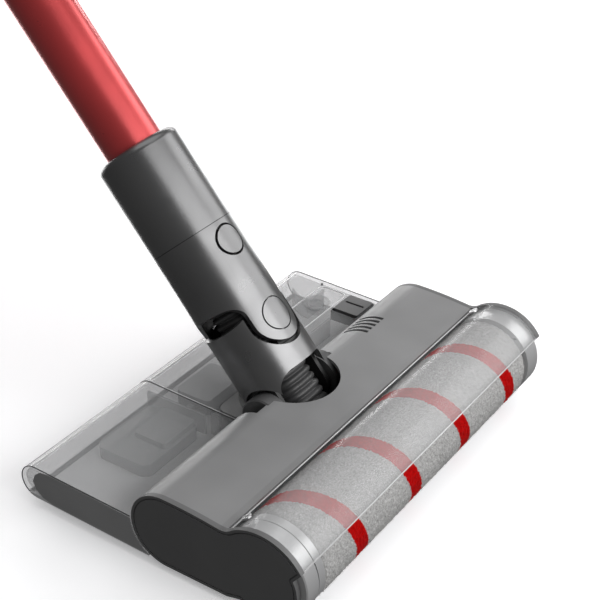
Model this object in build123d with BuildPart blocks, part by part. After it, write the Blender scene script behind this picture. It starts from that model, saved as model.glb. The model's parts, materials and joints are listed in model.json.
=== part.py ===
from build123d import *
from math import cos, radians, sin
import os

os.makedirs("parts", exist_ok=True)

# A cordless stick vacuum with a mopping floor head. Millimetres, +Z up from the floor.
# X runs along the roller, -Y is the front of the floor head and the wand leans back towards +Y.
# The origin is on the floor, under the tilt hinge of the neck.

# ---------------------------------------------------------------- floor head
head_half = 125.0
cap_thickness = 3.0
cap_inner = head_half - cap_thickness
skin = 2.2
floor_gap = 4.6

# The back of the casing is half round, seen from the end of the head
back_y, back_z = -8.3, 26.35
back_radius = back_z - floor_gap
casing_front = -46.2
valley_y, valley_z = -42.5, 45.9
seam_z = 13.6

# Roller and its clear cover share one axis
roller_y, roller_z = -67.0, 26.0
pile_radius = 26.0
core_radius = 19.0
cover_radius = 28.0
cover_inner = 26.9
chamber_radius = 28.8
chamber_wall = 2.0
cover_back_angle = 44.0
cover_front_angle = 148.5
roller_left, roller_right = -106.0, 106.5

# Brush drive at the right end
motor_y, motor_z = -19.0, 31.3
motor_radius = 12.0
big_pulley_radius = 12.0
small_pulley_radius = 6.0
belt_thickness = 1.2
belt_left, belt_right = 113.5, 119.5

# ---------------------------------------------------------------- tilt hinge and neck
tilt_y, tilt_z = -0.7, 34.4
lean = 40.54
lug_inner, lug_outer = 22.0, 31.0
lug_radius = 14.0
pin_radius = 5.0
running_gap = 0.05
socket_radius = 26.5
pocket_radius = 17.2
pocket_left_end, pocket_right_end = 40.0, 31.6
pocket_front = -4.0

lower_radius = 25.3
upper_radius = 25.1
neck_bore = 22.9
arch_radius = 16.5
mouth_half, mouth_top, mouth_corner = 20.4, 16.5, 9.0
swivel_s = 46.2
tongue_radius = 15.3
groove_radius = 18.0
window_top = 63.0
cap_radius, cap_gap = 9.15, 0.75
seam_s = 106.0
button_s = 93.9
button_radius = 8.2
button_hole = 9.5
sleeve_top = 164.0
tube_radius = 17.45
tube_bore = 16.2
spigot_radius = 19.0

# ---------------------------------------------------------------- water tank
tank_top_front, tank_top_back = 26.4, 28.4
tank_back = 90.8
tank_edge_radius = 10.3
tank_wall = 1.8
notch_half, notch_back = 27.5, 35.0

# ---------------------------------------------------------------- wand and hand unit
tube_bottom, tube_top = 118.0, 805.0
upper_sleeve_bottom, upper_sleeve_top = 775.0, 850.0
upper_sleeve_radius = 23.0
upper_button_s = 822.0
cup_y, cup_radius, cup_wall = 64.5, 40.0, 2.0
cup_front, cup_back = 862.0, 958.0
body_back = 1075.0
body_y, body_radius = 58.0, 47.0
grip_s, grip_bottom = 1048.0, 190.0
grip_top = body_y + body_radius - 8
battery_bottom = 226.0

across = Plane.YZ
wand = Plane(origin=(0, tilt_y, tilt_z), x_dir=(1, 0, 0), z_dir=(0, sin(radians(lean)), cos(radians(lean))))
wand_front = Plane(origin=wand.origin, x_dir=(1, 0, 0), z_dir=-wand.y_dir)
wand_side = Plane(origin=wand.origin, x_dir=wand.y_dir, z_dir=(1, 0, 0))
wand_axis = Axis(wand.origin, wand.z_dir)


def finish(piece, name):
    """Label a finished piece and write it as its own file."""
    piece.part.label = name
    export_step(piece.part, f"parts/{name}.step")


def on_roller(radius, angle):
    """Point on a circle about the roller axis, seen from the end, 0 degrees towards the back."""
    return (roller_y + radius * cos(radians(angle)), roller_z + radius * sin(radians(angle)))


# Back and top edges of the casing, seen from the end, from the bottom round to the front
with BuildLine() as casing_edge:
    back_arc = CenterArc((back_y, back_z), back_radius, -90, 180)
    TangentArc(back_arc @ 1, (valley_y, valley_z), tangent=back_arc % 1)

# Closed end-on outline of the casing behind the roller
with BuildSketch() as casing_section:
    with BuildLine():
        add(casing_edge.line)
        Polyline(
            (valley_y, valley_z),
            (casing_front, valley_z - 0.1),
            (casing_front, floor_gap),
            (back_y, floor_gap),
        )
    make_face()

# Closed end-on outline of an end cap: casing at the back, hump over the roller, open front
hump_start = on_roller(cover_radius, 54)
hump_end = on_roller(cover_radius, cover_front_angle)
notch = on_roller(21.0, 156.0)
foot = on_roller(23.0, 303.0)
with BuildSketch() as end_cap_section:
    with BuildLine():
        add(casing_edge.line)
        ThreePointArc((valley_y, valley_z), (-46.7, 46.3), hump_start)
        CenterArc((roller_y, roller_z), cover_radius, 54, cover_front_angle - 54)
        Line(hump_end, notch)
        ThreePointArc(notch, on_roller(22.3, 215), foot)
        Polyline(foot, (casing_front, floor_gap), (back_y, floor_gap))
    make_face()

# ================================================================= casing of the floor head

# Top cover: a skin over the back and the top, with the neck's socket, the hinge pockets and five vents
cover_plane, cover_length = across.offset(-cap_inner), 2 * cap_inner
vent_count, vent_start, vent_pitch, vent_width = 5, 57.6, 4.25, 2.3
with BuildPart() as top_cover:
    with BuildSketch(cover_plane):
        add(casing_section.sketch)
        offset(amount=-skin, mode=Mode.SUBTRACT)
    extrude(amount=cover_length)
    with BuildSketch(cover_plane):
        with Locations((casing_front, seam_z / 2)):
            Rectangle(160, seam_z)
        with Locations((casing_front, 20)):
            Rectangle(2 * skin + 0.6, 48)
    extrude(amount=cover_length, mode=Mode.SUBTRACT)
    with BuildSketch(Plane.XY.offset(seam_z - 1)):
        Circle(socket_radius)
        with Locations((0, 15)):
            Rectangle(2 * socket_radius, 30)
    extrude(amount=50, mode=Mode.SUBTRACT)
    for side, pocket_end in ((-1, pocket_left_end), (1, pocket_right_end)):
        with BuildSketch(across.offset(side * (lug_inner - 0.5))):
            with Locations((tilt_y, tilt_z)):
                Circle(pocket_radius)
            with Locations((pocket_front, tilt_z)):
                Rectangle(40, 60, align=(Align.MAX, Align.CENTER), mode=Mode.SUBTRACT)
        extrude(amount=side * (pocket_end - lug_inner + 0.5), mode=Mode.SUBTRACT)
        with BuildSketch(across.offset(side * (lug_inner - 1))):
            with Locations((tilt_y, tilt_z)):
                Circle(lug_radius + 0.25)
        extrude(amount=side * (lug_outer + 0.25 - lug_inner + 1), mode=Mode.SUBTRACT)
    for vent in range(vent_count):
        vent_x = vent_start + vent_pitch * vent
        with BuildSketch(Plane.XY.offset(36)):
            with BuildLine():
                ThreePointArc((vent_x, 3.6), (vent_x + 2.7, -3.2), (vent_x + 4.0, -10.5))
            trace(line_width=vent_width)
        extrude(amount=14, mode=Mode.SUBTRACT)
finish(top_cover, "top_cover")

# Chassis: floor of the casing, back wall of the roller chamber, wheel wells and seats for the hinge lugs
wheel_x, wheel_y, wheel_radius, wheel_width = 72.0, -24.0, 7.0, 6.0
lug_seat_z = 8.6
with BuildPart() as chassis:
    with BuildSketch(cover_plane):
        add(casing_section.sketch)
        offset(amount=-skin, mode=Mode.SUBTRACT)
        with Locations((casing_front, seam_z + 30 - 0.2)):
            Rectangle(160, 60, mode=Mode.SUBTRACT)
        with Locations((roller_y, roller_z)):
            Circle(chamber_radius, mode=Mode.SUBTRACT)
    extrude(amount=cover_length)
    with BuildSketch(cover_plane):
        with BuildLine():
            CenterArc((roller_y, roller_z), chamber_radius, -47, 80)
            Line(on_roller(chamber_radius, 33), on_roller(chamber_radius + chamber_wall, 33))
            CenterArc((roller_y, roller_z), chamber_radius + chamber_wall, 33, -76)
            Line(on_roller(chamber_radius + chamber_wall, -43), on_roller(chamber_radius, -47))
        make_face()
    extrude(amount=cover_length)
    for side in (-1, 1):
        with BuildSketch(Plane.XY.offset(floor_gap + 0.5)):
            with Locations((side * (lug_inner + lug_outer) / 2, -7.0)):
                Rectangle(10, 10)
        extrude(amount=lug_seat_z - floor_gap - 0.5)
        with BuildSketch(Plane.XY.offset(floor_gap)):
            with Locations((side * wheel_x, wheel_y)):
                RectangleRounded(wheel_width + 7, 2 * wheel_radius + 7, 2)
        extrude(amount=13.5)
        with BuildSketch(Plane.XY.offset(floor_gap - 1)):
            with Locations((side * wheel_x, wheel_y)):
                Rectangle(wheel_width + 3, 2 * wheel_radius + 3)
        extrude(amount=12.5, mode=Mode.SUBTRACT)
        with BuildSketch(across.offset(side * (wheel_x - wheel_width))):
            with Locations((wheel_y, wheel_radius)):
                Circle(1.5)
        extrude(amount=side * 2 * wheel_width, mode=Mode.SUBTRACT)
    with BuildSketch(Plane.XZ.offset(34)):
        with Locations((0, 24)):
            RectangleRounded(60, 22, 4)
        with Locations(((belt_left + belt_right) / 2 - 1.5, 29)):
            Rectangle(13, 22.5)
    extrude(amount=14, mode=Mode.SUBTRACT)
finish(chassis, "chassis")


# End caps: dark plates with a shadow groove just inside the edge
for side, cap_name in ((-1, "left_end_cap"), (1, "right_end_cap")):
    with BuildPart() as end_cap:
        with BuildSketch(across.offset(side * cap_inner)):
            add(end_cap_section.sketch)
        extrude(amount=side * cap_thickness)
        with BuildSketch(across.offset(side * (head_half - 0.7))):
            add(end_cap_section.sketch)
            offset(amount=-1.5, mode=Mode.REPLACE)
            offset(amount=-0.7, mode=Mode.SUBTRACT)
        extrude(amount=side * 1.0, mode=Mode.SUBTRACT)
    finish(end_cap, cap_name)

# Clear cover over the roller, with a screw lug at each back corner
with BuildPart() as roller_cover:
    with BuildSketch(cover_plane):
        with BuildLine():
            sweep_angle = cover_front_angle - cover_back_angle
            CenterArc((roller_y, roller_z), cover_radius, cover_back_angle, sweep_angle)
            Line(on_roller(cover_radius, cover_front_angle), on_roller(cover_inner, cover_front_angle))
            CenterArc((roller_y, roller_z), cover_inner, cover_front_angle, -sweep_angle)
            Line(on_roller(cover_inner, cover_back_angle), on_roller(cover_radius, cover_back_angle))
        make_face()
    extrude(amount=cover_length)
finish(roller_cover, "roller_cover")

# Two small round screws that hold the clear cover down
screw_angle = 58.0
with BuildPart() as cover_screws:
    for screw_x in (-114.0, 114.0):
        seat = on_roller(cover_radius + 0.02, screw_angle)
        outward = (0, cos(radians(screw_angle)), sin(radians(screw_angle)))
        screw_plane = Plane(origin=(screw_x, *seat), x_dir=(1, 0, 0), z_dir=outward)
        with BuildSketch(screw_plane):
            Circle(2.6)
        extrude(amount=1.0)
        with BuildSketch(screw_plane.offset(0.5)):
            Rectangle(3.2, 0.7)
            Rectangle(0.7, 3.2)
        extrude(amount=1, mode=Mode.SUBTRACT)
finish(cover_screws, "cover_screws")

# Casing screws under the floor of the head
with BuildPart() as casing_screws:
    with BuildSketch(Plane.XY.offset(floor_gap - 1.2)):
        with Locations((-108, -14), (-40, -33), (40, -33), (108, -14)):
            Circle(3.2)
    extrude(amount=1.15)
    with BuildSketch(Plane.XY.offset(floor_gap - 1.3)):
        with Locations((-108, -14), (-40, -33), (40, -33), (108, -14)):
            RegularPolygon(1.3, 6)
    extrude(amount=0.9, mode=Mode.SUBTRACT)
finish(casing_screws, "casing_screws")

# Hinge lugs: two rounded drums that the neck straddles, each with a bore for a pivot pin
with BuildPart() as hinge_lugs:
    for side in (-1, 1):
        with BuildSketch(across.offset(side * lug_inner)):
            with Locations((tilt_y, tilt_z)):
                Circle(lug_radius)
            with Locations((-7.0, (lug_seat_z + tilt_z) / 2)):
                Rectangle(9.6, tilt_z - lug_seat_z)
            with Locations((tilt_y, tilt_z)):
                Circle(pin_radius + running_gap, mode=Mode.SUBTRACT)
        extrude(amount=side * (lug_outer - lug_inner))
        rim = hinge_lugs.edges().filter_by(GeomType.CIRCLE)
        rim = rim.filter_by(lambda edge: abs(edge.center(CenterOf.MASS).X - side * lug_outer) < 0.1)
        chamfer(rim.filter_by(lambda edge: edge.radius > lug_radius - 0.1), 0.8)
finish(hinge_lugs, "hinge_lugs")

# Suction duct: a flat box from the roller chamber that turns up into a round collar under the lower hose
hose_radius, hose_bore = 15.2, 13.2
lower_hose_bottom, lower_hose_top = -11.0, 26.0
duct_mouth_y, duct_width, duct_wall = -37.3, 34.0, 1.8
collar_plane = wand.offset(lower_hose_bottom - 5)
collar_top = collar_plane.origin - collar_plane.y_dir * hose_radius
collar_foot = collar_plane.origin + collar_plane.y_dir * hose_radius
with BuildSketch() as duct_section:
    Polygon(
        (duct_mouth_y, 14.0),
        (duct_mouth_y, 33.0),
        (collar_top.Y, collar_top.Z),
        (collar_foot.Y, collar_foot.Z),
        (-6.0, 9.4),
        (-14.0, 9.4),
        align=None,
    )
with BuildPart() as suction_duct:
    with BuildSketch(across.offset(-duct_width / 2)):
        add(duct_section.sketch)
    extrude(amount=duct_width)
    with BuildSketch(collar_plane):
        Circle(hose_radius)
    extrude(amount=4.8)
    with BuildSketch(across.offset(duct_wall - duct_width / 2)):
        add(duct_section.sketch)
        offset(amount=-duct_wall, kind=Kind.INTERSECTION, mode=Mode.REPLACE)
        with Locations((duct_mouth_y, 23.5)):
            Rectangle(8, 15.4)
    extrude(amount=duct_width - 2 * duct_wall, mode=Mode.SUBTRACT)
    with BuildSketch(collar_plane.offset(-4)):
        Circle(hose_bore)
    extrude(amount=10, mode=Mode.SUBTRACT)
finish(suction_duct, "suction_duct")

# Squeegee strip along the back lip of the roller chamber
with BuildPart() as squeegee_strip:
    with BuildSketch(across.offset(-104)):
        Polygon((-44.6, 4.5), (-41.4, 4.5), (-42.4, 0.8), (-43.4, 0.8), align=None)
    extrude(amount=208)
finish(squeegee_strip, "squeegee_strip")

# Control board beside the duct, with its capacitors and connector
board_plane = Plane.XY.offset(20.0)
with BuildPart() as circuit_board:
    with BuildSketch(board_plane):
        with Locations((-88, -18)):
            RectangleRounded(56, 24, 2)
    extrude(amount=1.6)
    with BuildSketch(board_plane.offset(1.6)):
        with Locations((-108, -22), (-98, -22)):
            Circle(3.5)
    extrude(amount=9)
    with BuildSketch(board_plane.offset(1.6)):
        with Locations((-72, -18)):
            Rectangle(9, 16)
        with Locations((-88, -12)):
            Rectangle(11, 7)
    extrude(amount=4)
finish(circuit_board, "circuit_board")

# Brush motor: can, front boss and rear terminals
motor_left, motor_right, shaft_radius = 50.0, 106.0, 1.5
with BuildPart() as brush_motor:
    with BuildSketch(across.offset(motor_left)):
        with Locations((motor_y, motor_z)):
            Circle(motor_radius)
    extrude(amount=motor_right - motor_left)
    fillet(brush_motor.edges().filter_by(GeomType.CIRCLE), 1.5)
    with BuildSketch(across.offset(motor_right)):
        with Locations((motor_y, motor_z)):
            Circle(5)
    extrude(amount=4)
    with BuildSketch(across.offset(motor_left - 4)):
        with Locations((motor_y, motor_z + 6), (motor_y, motor_z - 6)):
            Rectangle(3, 1)
    extrude(amount=4.5)
    with BuildSketch(across.offset(motor_right - 6)):
        with Locations((motor_y, motor_z)):
            Circle(shaft_radius + running_gap)
    extrude(amount=12, mode=Mode.SUBTRACT)
finish(brush_motor, "brush_motor")

# Motor pulley on its shaft
with BuildPart() as motor_pulley:
    with BuildSketch(across.offset(motor_right - 5)):
        with Locations((motor_y, motor_z)):
            Circle(shaft_radius)
    extrude(amount=19)
    for start, radius, length in ((112.2, 7.6, 1.0), (113.2, small_pulley_radius, 6.6), (119.8, 7.6, 1.0)):
        with BuildSketch(across.offset(start)):
            with Locations((motor_y, motor_z)):
                Circle(radius)
        extrude(amount=length)
finish(motor_pulley, "motor_pulley")


def belt_outline(big, small):
    """Outline of a belt run round the roller pulley and the motor pulley."""
    with Locations((roller_y, roller_z)):
        Circle(big)
    with Locations((motor_y, motor_z)):
        Circle(small)
    make_hull()


# Drive belt round both pulleys
belt_inside = 0.12
belt_outside = belt_inside + belt_thickness
with BuildPart() as drive_belt:
    with BuildSketch(across.offset(belt_left)):
        belt_outline(big_pulley_radius + belt_outside, small_pulley_radius + belt_outside)
    extrude(amount=belt_right - belt_left)
    with BuildSketch(across.offset(belt_left)):
        belt_outline(big_pulley_radius + belt_inside, small_pulley_radius + belt_inside)
    extrude(amount=belt_right - belt_left, mode=Mode.SUBTRACT)
finish(drive_belt, "drive_belt")

# Silver shroud round the roller pulley, open at the back for the belt
shroud_left, shroud_radius = 109.2, 25.4
with BuildPart() as drive_shroud:
    with BuildSketch(across.offset(shroud_left)):
        with Locations((roller_y, roller_z)):
            Circle(shroud_radius)
            Circle(shroud_radius - 2.2, mode=Mode.SUBTRACT)
        with Locations((roller_y + 24, roller_z - 2)):
            Rectangle(12, 34, mode=Mode.SUBTRACT)
    extrude(amount=cap_inner - shroud_left - 0.2)
    with BuildSketch(across.offset(shroud_left)):
        with Locations((roller_y, roller_z)):
            Circle(shroud_radius)
            Circle(14, mode=Mode.SUBTRACT)
    extrude(amount=1.6)
finish(drive_shroud, "drive_shroud")

# Silver end plug with the stub axle of the roller's free end
stub_radius = 4.0
with BuildPart() as end_plug:
    with BuildSketch(across.offset(-cap_inner + 0.2)):
        with Locations((roller_y, roller_z)):
            Circle(shroud_radius)
    extrude(amount=10.4)
    chamfer(end_plug.edges().filter_by(GeomType.CIRCLE), 0.6)
    with BuildSketch(across.offset(-cap_inner + 10.5)):
        with Locations((roller_y, roller_z)):
            Circle(stub_radius)
    extrude(amount=14)
finish(end_plug, "end_plug")

# ================================================================= roller

# Hub ring at the free end, running on the stub axle
hub_left, hub_radius, core_bore = -110.9, 25.0, 16.0
with BuildPart() as roller_hub:
    with BuildSketch(across.offset(hub_left)):
        with Locations((roller_y, roller_z)):
            Circle(hub_radius)
            Circle(stub_radius + running_gap, mode=Mode.SUBTRACT)
    extrude(amount=roller_left - hub_left)
    with BuildSketch(across.offset(roller_left)):
        with Locations((roller_y, roller_z)):
            Circle(core_bore)
            Circle(stub_radius + running_gap, mode=Mode.SUBTRACT)
    extrude(amount=8)
finish(roller_hub, "roller_hub")

# Roller core tube, closed at the driven end round a square drive socket
with BuildPart() as roller_core:
    with BuildSketch(across.offset(roller_left)):
        with Locations((roller_y, roller_z)):
            Circle(core_radius)
            Circle(core_bore, mode=Mode.SUBTRACT)
    extrude(amount=roller_right - roller_left)
    with BuildSketch(across.offset(roller_right - 14)):
        with Locations((roller_y, roller_z)):
            Circle(16.5)
            Rectangle(12, 12, mode=Mode.SUBTRACT)
    extrude(amount=14)
finish(roller_core, "roller_core")

# Pile sleeve over the core
with BuildPart() as roller_pile:
    with BuildSketch(across.offset(roller_left)):
        with Locations((roller_y, roller_z)):
            Circle(pile_radius)
            Circle(core_radius, mode=Mode.SUBTRACT)
    extrude(amount=roller_right - roller_left)
finish(roller_pile, "roller_pile")

# Roller pulley with its two flanges and the square dog that drives the core
pulley_left, flange_radius = 112.4, 13.4
with BuildPart() as roller_pulley:
    for start, radius, length in (
        (pulley_left, flange_radius, 0.9),
        (pulley_left + 0.9, big_pulley_radius, 6.4),
        (pulley_left + 7.3, flange_radius, 0.9),
    ):
        with BuildSketch(across.offset(start)):
            with Locations((roller_y, roller_z)):
                Circle(radius)
        extrude(amount=length)
    with BuildSketch(across.offset(roller_right - 10)):
        with Locations((roller_y, roller_z)):
            Rectangle(11.9, 11.9)
    extrude(amount=pulley_left - roller_right + 10)
finish(roller_pulley, "roller_pulley")

# ================================================================= support wheels under the head
for side, wheel_name in ((-1, "left_wheel"), (1, "right_wheel")):
    with BuildPart() as wheel:
        with BuildSketch(across.offset(side * wheel_x - wheel_width / 2)):
            with Locations((wheel_y, wheel_radius)):
                Circle(wheel_radius)
                Circle(1.5 + running_gap, mode=Mode.SUBTRACT)
        extrude(amount=wheel_width)
        rims = wheel.edges().filter_by(GeomType.CIRCLE)
        fillet(rims.filter_by(lambda edge: edge.radius > 3), 1.5)
    finish(wheel, wheel_name)

# Wheel axles, held in the walls of the wheel wells
with BuildPart() as wheel_axles:
    for side in (-1, 1):
        with BuildSketch(across.offset(side * wheel_x - wheel_width + 0.2)):
            with Locations((wheel_y, wheel_radius)):
                Circle(1.5)
        extrude(amount=2 * wheel_width - 0.4)
finish(wheel_axles, "wheel_axles")

# ================================================================= water tank and mop, behind the head
tank_length = 2 * head_half
tank_edge_y = tank_back - tank_edge_radius
tank_edge_z = tank_top_back - tank_edge_radius
tank_front, tank_front_bottom = 3.4, 5.8
tank_slope_start = 12.0
seam_gap = 0.45
base_top = 10.0


def tank_outline(inset):
    """End-on outline of the tank, a shallow wedge with a round back edge, drawn in by the inset."""
    edge_radius = tank_edge_radius - inset
    with BuildSketch(mode=Mode.PRIVATE) as outline:
        with BuildLine():
            Line((tank_front, tank_front_bottom + inset), (tank_edge_y, tank_edge_z - edge_radius))
            CenterArc((tank_edge_y, tank_edge_z), edge_radius, -90, 180)
            Polyline(
                (tank_edge_y, tank_edge_z + edge_radius),
                (tank_slope_start, tank_top_front - inset),
                (tank_front, tank_top_front - inset),
                (tank_front, tank_front_bottom + inset),
            )
        make_face()
        with Locations((back_y, back_z)):
            Circle(back_radius + seam_gap + inset, mode=Mode.SUBTRACT)
    return outline.sketch


tank_section = tank_outline(0)
tank_cavity = tank_outline(tank_wall)

# Clear shell of the tank: top, back and ends, with the notch wall and a well for the latch
latch_x, latch_y, latch_width, latch_depth = 109.7, 30.5, 22.4, 18.4
filler_x, filler_y, filler_radius = 98.5, 50.2, 8.8
notch_centre = notch_back / 2 - 10
with BuildPart() as tank_shell:
    with BuildSketch(across.offset(-head_half)):
        add(tank_section)
    extrude(amount=tank_length)
    with BuildSketch(across.offset(-head_half + tank_wall)):
        add(tank_cavity)
    extrude(amount=head_half - 2 * tank_wall - notch_half, mode=Mode.SUBTRACT)
    with BuildSketch(across.offset(notch_half + tank_wall)):
        add(tank_cavity)
    extrude(amount=head_half - 2 * tank_wall - notch_half, mode=Mode.SUBTRACT)
    with BuildSketch(across.offset(-notch_half - tank_wall)):
        add(tank_cavity)
        with Locations((0, 20)):
            Rectangle(2 * (notch_back + tank_wall), 60, mode=Mode.SUBTRACT)
    extrude(amount=2 * (notch_half + tank_wall), mode=Mode.SUBTRACT)
    with BuildSketch(Plane.XY):
        with Locations((0, notch_centre)):
            RectangleRounded(2 * notch_half, notch_back + 20, 6)
    extrude(amount=40, mode=Mode.SUBTRACT)
    with BuildSketch(Plane.XY):
        Rectangle(400, 400)
    extrude(amount=base_top, mode=Mode.SUBTRACT)
    with BuildSketch(Plane.XY.offset(20)):
        with Locations((latch_x, latch_y)):
            RectangleRounded(latch_width, latch_depth, 2)
        with Locations((filler_x, filler_y)):
            Circle(filler_radius - 2.2)
    extrude(amount=20, mode=Mode.SUBTRACT)
finish(tank_shell, "tank_shell")

# Base of the tank: floor tray under the clear shell
with BuildPart() as tank_base:
    with BuildSketch(across.offset(-head_half)):
        add(tank_section)
    extrude(amount=tank_length)
    with BuildSketch(Plane.XY):
        with Locations((0, notch_centre)):
            RectangleRounded(2 * notch_half, notch_back + 20, 6)
    extrude(amount=40, mode=Mode.SUBTRACT)
    with BuildSketch(Plane.XY.offset(base_top)):
        Rectangle(400, 400)
    extrude(amount=40, mode=Mode.SUBTRACT)
finish(tank_base, "tank_base")

# Walls and boxes inside the tank: chamber walls, a curved corner wall and a stepped pump box
base_inside = base_top + 0.05
with BuildPart() as tank_walls:
    with BuildSketch(Plane.XY.offset(base_inside)):
        with Locations((-notch_half - 3.5, 60.0)):
            Rectangle(1.6, 42.0)
        with Locations((70.0, 38.0)):
            Rectangle(50.0, 1.4)
        with Locations((45.0, 58.0)):
            Rectangle(1.4, 38.0)
        with BuildLine():
            ThreePointArc((112.5, 78.0), (107.0, 70.0), (104.5, 61.0))
            Line((104.5, 61.0), (122.6, 61.0))
        trace(line_width=1.2)
    extrude(amount=13.0)
    with BuildSketch(Plane.XY.offset(base_inside)):
        with Locations((-58.0, 58.5)):
            RectangleRounded(48.0, 37.0, 6)
    extrude(amount=8.0)
    with BuildSketch(Plane.XY.offset(base_inside)):
        with Locations((-50.0, 53.0)):
            RectangleRounded(28.0, 22.0, 2)
    extrude(amount=11.5)
finish(tank_walls, "tank_walls")

# Pump under the middle of the tank, with its two drip outlets
with BuildPart() as water_pump:
    with BuildSketch(Plane.XY.offset(base_inside)):
        with Locations((0.0, 60.0)):
            RectangleRounded(34.0, 24.0, 3)
    extrude(amount=10.0)
    with BuildSketch(Plane.XY.offset(base_inside)):
        with Locations((-22.0, 60.0), (22.0, 60.0)):
            Rectangle(14.2, 4.0)
    extrude(amount=4.0)
finish(water_pump, "water_pump")

# Filler cap: lid on the tank top with raised rings and a plug
filler_z = 27.35
with BuildPart() as filler_cap:
    with BuildSketch(Plane.XY.offset(filler_z + 0.75)):
        with Locations((filler_x, filler_y)):
            Circle(filler_radius)
    extrude(amount=1.2)
    fillet(filler_cap.edges().filter_by(GeomType.CIRCLE).sort_by(Axis.Z)[-1], 0.6)
    with BuildSketch(Plane.XY.offset(filler_z + 0.75)):
        with Locations((filler_x, filler_y)):
            Circle(filler_radius - 2.0)
            Circle(filler_radius - 3.2, mode=Mode.SUBTRACT)
            Circle(3.2)
            Circle(2.2, mode=Mode.SUBTRACT)
            Rectangle(5.0, 1.2)
    extrude(amount=1.6)
    with BuildSketch(Plane.XY.offset(filler_z - 4.5)):
        with Locations((filler_x, filler_y)):
            Circle(filler_radius - 2.6)
            Circle(filler_radius - 4.2, mode=Mode.SUBTRACT)
    extrude(amount=5.5)
finish(filler_cap, "filler_cap")

# Latch of the tank: a slider at the right end of its well, with room to slide left and a finger slot
latch_bottom, latch_height, latch_room, finger_depth = 20.5, 6.6, 2.6, 3.0
with BuildPart() as tank_latch:
    with BuildSketch(Plane.XY.offset(latch_bottom)):
        with Locations((latch_x + latch_room / 2, latch_y)):
            RectangleRounded(latch_width - latch_room - 0.6, latch_depth - 0.8, 1.5)
    extrude(amount=latch_height)
    with BuildSketch(Plane.XY.offset(latch_bottom + latch_height - finger_depth)):
        with Locations((latch_x + latch_room, latch_y)):
            Rectangle(1.8, latch_depth - 5.0)
    extrude(amount=finger_depth, mode=Mode.SUBTRACT)
finish(tank_latch, "tank_latch")

# Carrier plate that hooks the mop pad under the tank
pad_half, pad_front, pad_back = 112.0, -8.0, 84.0
pad_top = 3.7
with BuildPart() as mop_plate:
    with BuildSketch(across.offset(-pad_half + 3)):
        Polygon(
            (pad_front + 3, pad_top + 0.05),
            (pad_back - 3, pad_top + 0.05),
            (pad_back - 3, 7.3),
            (tank_front + 1, 5.55),
            (tank_front - 2, 4.35),
            (pad_front + 3, 4.35),
            align=None,
        )
    extrude(amount=2 * pad_half - 6)
finish(mop_plate, "mop_plate")

# Mop pad, flat on the floor
with BuildPart() as mop_pad:
    with BuildSketch(Plane.XY):
        with Locations((0, (pad_front + pad_back) / 2)):
            RectangleRounded(2 * pad_half, pad_back - pad_front, 8)
    extrude(amount=pad_top)
    fillet(mop_pad.edges().group_by(Axis.Z)[0], 1.2)
finish(mop_pad, "mop_pad")

# Saddle behind the socket: fills the tank's notch and is hollowed to the sweep of the neck
saddle_half, saddle_back, saddle_top = notch_half - 0.9, notch_back - 0.6, 26.9
recline, sweep_steps = 15.0, 4
with BuildPart() as neck_saddle:
    with BuildSketch(across.offset(-saddle_half)):
        Polygon((2, 9.2), (saddle_back, 9.2), (saddle_back, saddle_top), (2, saddle_top - 0.5), align=None)
        with Locations((back_y, back_z)):
            Circle(back_radius + 0.2, mode=Mode.SUBTRACT)
    extrude(amount=2 * saddle_half)
    for step in range(sweep_steps):
        angle = radians(lean + recline * step / (sweep_steps - 1))
        swept = Plane(origin=wand.origin, x_dir=(1, 0, 0), z_dir=(0, sin(angle), cos(angle)))
        with BuildSketch(swept.offset(-40)):
            Circle(lower_radius + 0.9)
        extrude(amount=140, mode=Mode.SUBTRACT)
    with BuildSketch(Plane.XY):
        with Locations((0, notch_centre)):
            RectangleRounded(2 * saddle_half, 2 * (saddle_back - notch_centre), 5.5)
    extrude(amount=40, mode=Mode.INTERSECT)
finish(neck_saddle, "neck_saddle")

# ================================================================= lower neck, tilting on the hinge lugs

# Front outline of the lower neck: round groove for the tongue, small horns, sloping shoulders
shoulder_s, horn_s = 51.3, 53.4
with BuildSketch() as lower_front:
    with BuildLine():
        ThreePointArc((-groove_radius, swivel_s), (0, swivel_s - groove_radius), (groove_radius, swivel_s))
        Line((groove_radius, swivel_s), (groove_radius, horn_s))
        ThreePointArc((groove_radius, horn_s), (21.6, 52.0), (lower_radius + 1, shoulder_s))
        Polyline(
            (lower_radius + 1, shoulder_s),
            (lower_radius + 1, -2),
            (-lower_radius - 1, -2),
            (-lower_radius - 1, shoulder_s),
        )
        ThreePointArc((-lower_radius - 1, shoulder_s), (-21.6, 52.0), (-groove_radius, horn_s))
        Line((-groove_radius, horn_s), (-groove_radius, swivel_s))
    make_face()

with BuildPart() as lower_neck_shell:
    with BuildSketch(wand.offset(-2)):
        Circle(lower_radius)
        Circle(neck_bore, mode=Mode.SUBTRACT)
    extrude(amount=60)
    with BuildSketch(wand_front):
        add(lower_front.sketch)
    extrude(amount=40, both=True, mode=Mode.INTERSECT)
    with BuildSketch(wand_front):
        with Locations((0, mouth_top - 20)):
            RectangleRounded(2 * mouth_half, 40, mouth_corner)
    extrude(amount=40, both=True, mode=Mode.SUBTRACT)
    with BuildSketch(wand_side):
        Circle(arch_radius)
    extrude(amount=40, both=True, mode=Mode.SUBTRACT)
finish(lower_neck_shell, "lower_neck_shell")

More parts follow.
